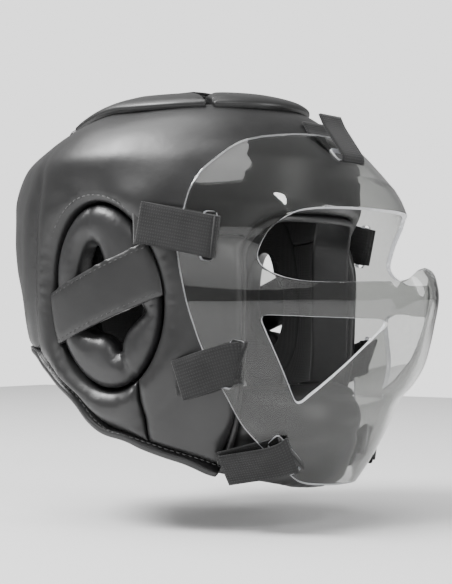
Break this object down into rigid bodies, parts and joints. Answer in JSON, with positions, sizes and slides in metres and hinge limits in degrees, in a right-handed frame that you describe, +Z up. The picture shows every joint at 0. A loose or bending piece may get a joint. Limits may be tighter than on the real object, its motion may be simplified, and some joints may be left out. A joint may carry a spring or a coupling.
{
  "type": "boxing headgear",
  "caption": "Padded leather-look boxing headgear with ear pads, crown flaps, chin guard and a clear face shield held by hook-and-loop straps.",
  "frame": {"origin": "on the head's vertical axis, at the level of the neck opening where the head goes in", "axes": "-Y is the way the face looks, +Z is up, -X is the wearer's right"},
  "size_m": [0.2122, 0.3017, 0.2534],
  "materials": {
    "polycarbonate": "clear smoky polycarbonate, polished, rounded edges",
    "hook_webbing": "charcoal hook-and-loop webbing, matt",
    "loop_pile": "black looped pile",
    "foam": "closed-cell foam, hidden inside",
    "lining_fabric": "brushed black lining",
    "binding_leather": "folded artificial leather tape, stitched",
    "leather": "black artificial leather, fine grain, soft sheen"
  },
  "bodies": {
    "shell": {"back_left_cover": "leather", "back_left_foam": "foam", "back_left_lining": "lining_fabric", "back_right_cover": "leather", "back_right_foam": "foam", "back_right_lining": "lining_fabric", "cheek_left_cover": "leather", "cheek_left_foam": "foam", "cheek_left_lining": "lining_fabric", "cheek_right_cover": "leather", "cheek_right_foam": "foam", "cheek_right_lining": "lining_fabric", "crown_flap_back": "leather", "crown_flap_front": "leather", "crown_flap_left": "leather", "crown_flap_right": "leather", "crown_loop_patch": "loop_pile", "ear_band_left": "leather", "ear_band_right": "leather", "ear_pad_front_left": "leather", "ear_pad_front_right": "leather", "ear_pad_rear_left": "leather", "ear_pad_rear_right": "leather", "ear_side_left_cover": "leather", "ear_side_left_foam": "foam", "ear_side_left_lining": "lining_fabric", "ear_side_right_cover": "leather", "ear_side_right_foam": "foam", "ear_side_right_lining": "lining_fabric", "face_edge_binding": "binding_leather", "forehead_cover": "leather", "forehead_foam": "foam", "forehead_lining": "lining_fabric", "loop_patches": "loop_pile", "lower_edge_binding": "binding_leather", "rear_loop_patch": "loop_pile"},
    "shield": {"face_shield": "polycarbonate", "strap_brow_tail": "hook_webbing", "strap_upper_tail_right": "hook_webbing", "strap_upper_tail_left": "hook_webbing", "strap_middle_tail_right": "hook_webbing", "strap_middle_tail_left": "hook_webbing", "strap_lower_tail_right": "hook_webbing", "strap_lower_tail_left": "hook_webbing"},
    "chin_guard": {"chin_guard_cover": "leather", "chin_guard_foam": "foam"},
    "rear_strap": {"rear_strap": "hook_webbing"},
    "crown_strap": {"crown_strap": "hook_webbing"},
    "strap_brow": {"strap_brow": "hook_webbing"},
    "strap_upper_right": {"strap_upper_right": "hook_webbing"},
    "strap_upper_left": {"strap_upper_left": "hook_webbing"},
    "strap_middle_right": {"strap_middle_right": "hook_webbing"},
    "strap_middle_left": {"strap_middle_left": "hook_webbing"},
    "strap_lower_right": {"strap_lower_right": "hook_webbing"},
    "strap_lower_left": {"strap_lower_left": "hook_webbing"}
  },
  "joints": [
    {"name": "shield_release", "type": "slide", "parent": "shell", "child": "shield", "axis": [0, -1, 0], "range_m": [0, 0.12]},
    {"name": "chin_guard_release", "type": "slide", "parent": "shell", "child": "chin_guard", "axis": [0, 0.4191, -0.908], "range_m": [0, 0.06]},
    {"name": "rear_strap_open", "type": "hinge", "parent": "shell", "child": "rear_strap", "pos_m": [0.048, 0.095, 0.132], "axis": [0, 0, -1], "range_deg": [0, 75]},
    {"name": "crown_strap_open", "type": "hinge", "parent": "shell", "child": "crown_strap", "pos_m": [0.026, -0.008, 0.2645], "axis": [0, 1, 0], "range_deg": [0, 110]},
    {"name": "strap_brow_open", "type": "hinge", "parent": "shield", "child": "strap_brow", "pos_m": [0, -0.1304, 0.2182], "axis": [1, 0, 0], "range_deg": [0, 90]},
    {"name": "strap_upper_right_open", "type": "hinge", "parent": "shield", "child": "strap_upper_right", "pos_m": [-0.0926, -0.088, 0.1665], "axis": [0, -0.1903, 0.9817], "range_deg": [0, 90]},
    {"name": "strap_upper_left_open", "type": "hinge", "parent": "shield", "child": "strap_upper_left", "pos_m": [0.0926, -0.088, 0.1665], "axis": [0, 0.1903, -0.9817], "range_deg": [0, 90]},
    {"name": "strap_middle_right_open", "type": "hinge", "parent": "shield", "child": "strap_middle_right", "pos_m": [-0.0796, -0.098, 0.0918], "axis": [0, -0.3522, 0.9359], "range_deg": [0, 45]},
    {"name": "strap_middle_left_open", "type": "hinge", "parent": "shield", "child": "strap_middle_left", "pos_m": [0.0796, -0.098, 0.0918], "axis": [0, 0.3522, -0.9359], "range_deg": [0, 45]},
    {"name": "strap_lower_right_open", "type": "hinge", "parent": "shield", "child": "strap_lower_right", "pos_m": [-0.0503, -0.1165, 0.0353], "axis": [-0.741, 0.2003, 0.6409], "range_deg": [0, 90]},
    {"name": "strap_lower_left_open", "type": "hinge", "parent": "shield", "child": "strap_lower_left", "pos_m": [0.0503, -0.1165, 0.0353], "axis": [-0.741, -0.2003, -0.6409], "range_deg": [0, 90]}
  ]
}
